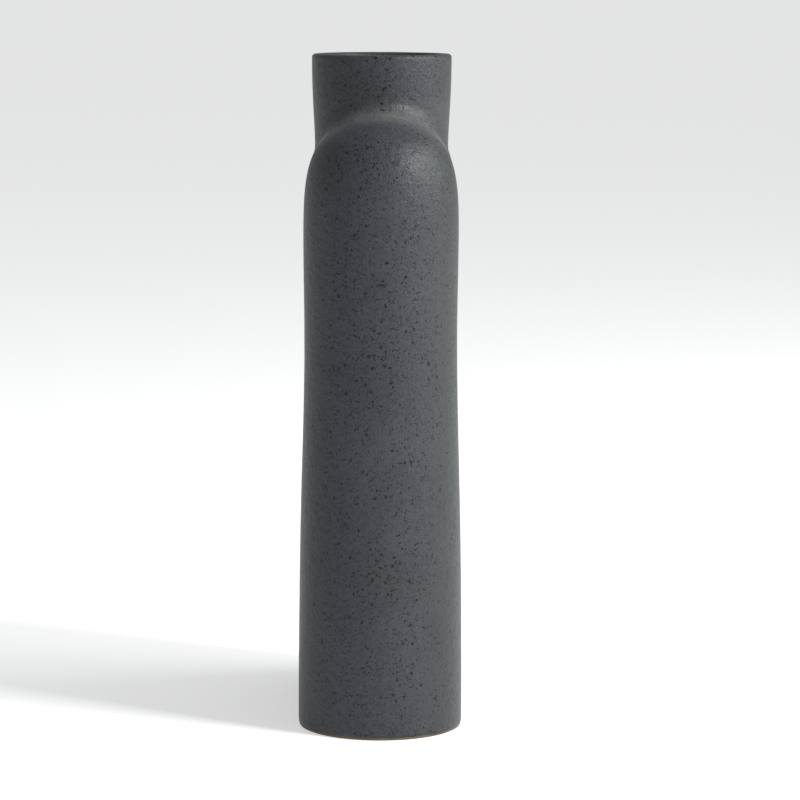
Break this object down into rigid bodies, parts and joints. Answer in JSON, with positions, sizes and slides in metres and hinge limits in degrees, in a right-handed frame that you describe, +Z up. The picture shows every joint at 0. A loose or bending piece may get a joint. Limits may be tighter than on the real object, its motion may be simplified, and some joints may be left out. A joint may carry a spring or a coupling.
{
  "type": "stoneware vase",
  "caption": "Tall narrow oblong stoneware vase with arched shoulders, a softly creased round neck and a matt speckled dark grey glaze.",
  "frame": {"origin": "centre of the standing surface under the foot, on the axis of the neck", "axes": "+Z up along the neck's axis to the rim; +Y along the long side of the oblong foot; +X across its narrow side"},
  "size_m": [0.0982, 0.2102, 0.4],
  "materials": {
    "glaze_outside": "matt",
    "glaze_inside": "satin",
    "stoneware": "matt"
  },
  "bodies": {
    "root": {"floor_slab": "stoneware", "wall_slab_left": "stoneware", "wall_slab_right": "stoneware", "shoulder_arch": "stoneware", "neck_collar": "stoneware", "floor_coil": "stoneware", "front_seam_coil": "stoneware", "rear_seam_coil": "stoneware", "shoulder_seam_coil": "stoneware", "neck_seam_coil": "stoneware", "outer_glaze": "glaze_outside", "liner_glaze": "glaze_inside"}
  },
  "joints": []
}
